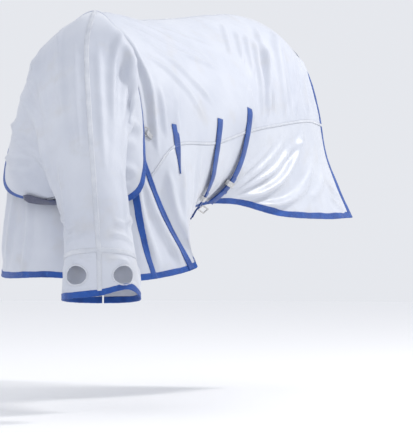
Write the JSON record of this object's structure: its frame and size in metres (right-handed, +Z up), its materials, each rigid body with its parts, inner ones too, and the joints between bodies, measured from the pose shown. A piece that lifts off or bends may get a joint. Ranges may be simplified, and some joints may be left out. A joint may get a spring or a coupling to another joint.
{
  "type": "fly sheet",
  "caption": "Horse fly sheet in its worn shape, with attached neck cover and ear hood, chest flaps, surcingles, belly flap and tail flap.",
  "frame": {"origin": "on the midline over the horse's withers, between the sheet's back seam 13 mm below and the neck cover's rear edge 4 mm above", "axes": "+X to the horse's left, +Y towards the tail, +Z up"},
  "size_m": [0.8954, 2.2631, 1.1157],
  "materials": {
    "mesh_cloth": "fine white polyester mesh, soft sheen",
    "satin_cloth": "smooth white polyester, satin sheen",
    "tape": "blue woven edge binding",
    "webbing": "blue polypropylene webbing",
    "closure": "navy touch tape, matt",
    "metal": "nickel plated steel, slightly worn"
  },
  "bodies": {
    "sheet": {"back_seam_tape": "mesh_cloth", "chest_hook_tape": "closure", "chest_loop_tape": "closure", "flap_edge_tape": "tape", "front_surcingle": "webbing", "left_apron_hem_tape": "tape", "left_chest": "mesh_cloth", "left_gusset": "satin_cloth", "left_hem_tape": "tape", "left_lower_neck_tab": "webbing", "left_rear_tape": "tape", "left_side": "mesh_cloth", "left_skirt": "satin_cloth", "left_slit_tape": "tape", "left_upper_neck_tab": "webbing", "right_apron_hem_tape": "tape", "right_chest": "mesh_cloth", "right_gusset": "satin_cloth", "right_hem_tape": "tape", "right_lower_neck_tab": "webbing", "right_rear_tape": "tape", "right_side": "mesh_cloth", "right_skirt": "satin_cloth", "right_slit_tape": "tape", "right_upper_neck_tab": "webbing"},
    "neck_cover": {"crest_seam_tape": "mesh_cloth", "left_brow_tape": "tape", "left_hood": "mesh_cloth", "left_neck": "mesh_cloth", "left_neck_edge_tape": "tape", "left_poll_tape": "mesh_cloth", "right_brow_tape": "tape", "right_hood": "mesh_cloth", "right_neck": "mesh_cloth", "right_neck_edge_tape": "tape", "right_poll_tape": "mesh_cloth"},
    "bib_closure": {"bib_closure": "closure"},
    "throat_closure": {"throat_closure": "closure"},
    "jaw_closure": {"jaw_closure": "closure"},
    "cheek_closure": {"cheek_closure": "closure"},
    "tail_flap": {"tail_flap": "satin_cloth", "tail_flap_tape": "tape"},
    "belly_flap": {"belly_flap": "mesh_cloth", "belly_flap_front_tape": "tape", "belly_flap_rear_tape": "tape"},
    "middle_strap": {"middle_surcingle": "webbing"},
    "rear_strap": {"rear_surcingle": "webbing"},
    "middle_slider": {"middle_slider": "metal"},
    "rear_slider": {"rear_slider": "metal"},
    "middle_slot_plate": {"middle_slot_plate": "metal"},
    "rear_slot_plate": {"rear_slot_plate": "metal"},
    "left_upper_ring": {"left_upper_neck_ring": "metal"},
    "left_lower_ring": {"left_lower_neck_ring": "metal"},
    "right_upper_ring": {"right_upper_neck_ring": "metal"},
    "right_lower_ring": {"right_lower_neck_ring": "metal"}
  },
  "joints": [
    {"name": "neck_raise", "type": "hinge", "parent": "sheet", "child": "neck_cover", "pos_m": [0, -0.02, 0], "axis": [-1, 0, 0], "range_deg": [0, 30]},
    {"name": "tail_flap_lift", "type": "hinge", "parent": "sheet", "child": "tail_flap", "pos_m": [0, 1.362, -0.116], "axis": [1, 0, 0], "range_deg": [0, 80]},
    {"name": "belly_flap_drop", "type": "hinge", "parent": "sheet", "child": "belly_flap", "pos_m": [-0.132, 0.415, -0.758], "axis": [0, 1, 0], "range_deg": [0, 80]},
    {"name": "middle_strap_swing", "type": "hinge", "parent": "sheet", "child": "middle_strap", "pos_m": [0.34405, 0.38605, -0.43146], "axis": [-0.0476, -0.9832, 0.176], "range_deg": [0, 60]},
    {"name": "middle_slider_slide", "type": "slide", "parent": "middle_strap", "child": "middle_slider", "axis": [-0.5071, -0.2036, -0.8375], "range_m": [-0.008, 0.008]},
    {"name": "middle_plate_pivot", "type": "hinge", "parent": "middle_strap", "child": "middle_slot_plate", "pos_m": [0.23178, 0.30503, -0.8469], "axis": [0.5921, -0.7988, 0.1069], "range_deg": [0, 40]},
    {"name": "rear_strap_swing", "type": "hinge", "parent": "sheet", "child": "rear_strap", "pos_m": [0.34066, 0.65466, -0.39935], "axis": [-0.0715, -0.9525, 0.2959], "range_deg": [0, 60]},
    {"name": "rear_slider_slide", "type": "slide", "parent": "rear_strap", "child": "rear_slider", "axis": [-0.5282, -0.2851, -0.7998], "range_m": [-0.008, 0.008]},
    {"name": "rear_plate_pivot", "type": "hinge", "parent": "rear_strap", "child": "rear_slot_plate", "pos_m": [0.19426, 0.52814, -0.78696], "axis": [-0.0332, -0.932, 0.3609], "range_deg": [0, 40]},
    {"name": "bib_closure_peel", "type": "hinge", "parent": "neck_cover", "child": "bib_closure", "pos_m": [0.06939, -0.46135, -0.72559], "axis": [0.3204, -0.7246, 0.6102], "range_deg": [0, 60]},
    {"name": "throat_closure_peel", "type": "hinge", "parent": "neck_cover", "child": "throat_closure", "pos_m": [0.2313, -0.48643, -0.79325], "axis": [0.4697, 0.1299, -0.8732], "range_deg": [0, 70]},
    {"name": "jaw_closure_peel", "type": "hinge", "parent": "neck_cover", "child": "jaw_closure", "pos_m": [0.28556, -0.50255, -0.9169], "axis": [0.3135, -0.3385, -0.8872], "range_deg": [0, 70]},
    {"name": "cheek_closure_peel", "type": "hinge", "parent": "neck_cover", "child": "cheek_closure", "pos_m": [0.3107, -0.52021, -1.05781], "axis": [0.1099, -0.1928, -0.9751], "range_deg": [0, 70]},
    {"name": "left_upper_ring_swing", "type": "hinge", "parent": "sheet", "child": "left_upper_ring", "pos_m": [0.19332, -0.12383, -0.23678], "axis": [-0.1488, 0.5135, 0.8451], "range_deg": [0, 45]},
    {"name": "left_lower_ring_swing", "type": "hinge", "parent": "sheet", "child": "left_lower_ring", "pos_m": [0.27461, -0.12843, -0.46241], "axis": [0.1176, 0.641, 0.7585], "range_deg": [0, 45]},
    {"name": "right_upper_ring_swing", "type": "hinge", "parent": "sheet", "child": "right_upper_ring", "pos_m": [-0.19332, -0.12383, -0.23678], "axis": [-0.1488, -0.5135, -0.8451], "range_deg": [0, 45]},
    {"name": "right_lower_ring_swing", "type": "hinge", "parent": "sheet", "child": "right_lower_ring", "pos_m": [-0.27461, -0.12843, -0.46241], "axis": [0.1176, -0.641, -0.7585], "range_deg": [0, 45]}
  ]
}
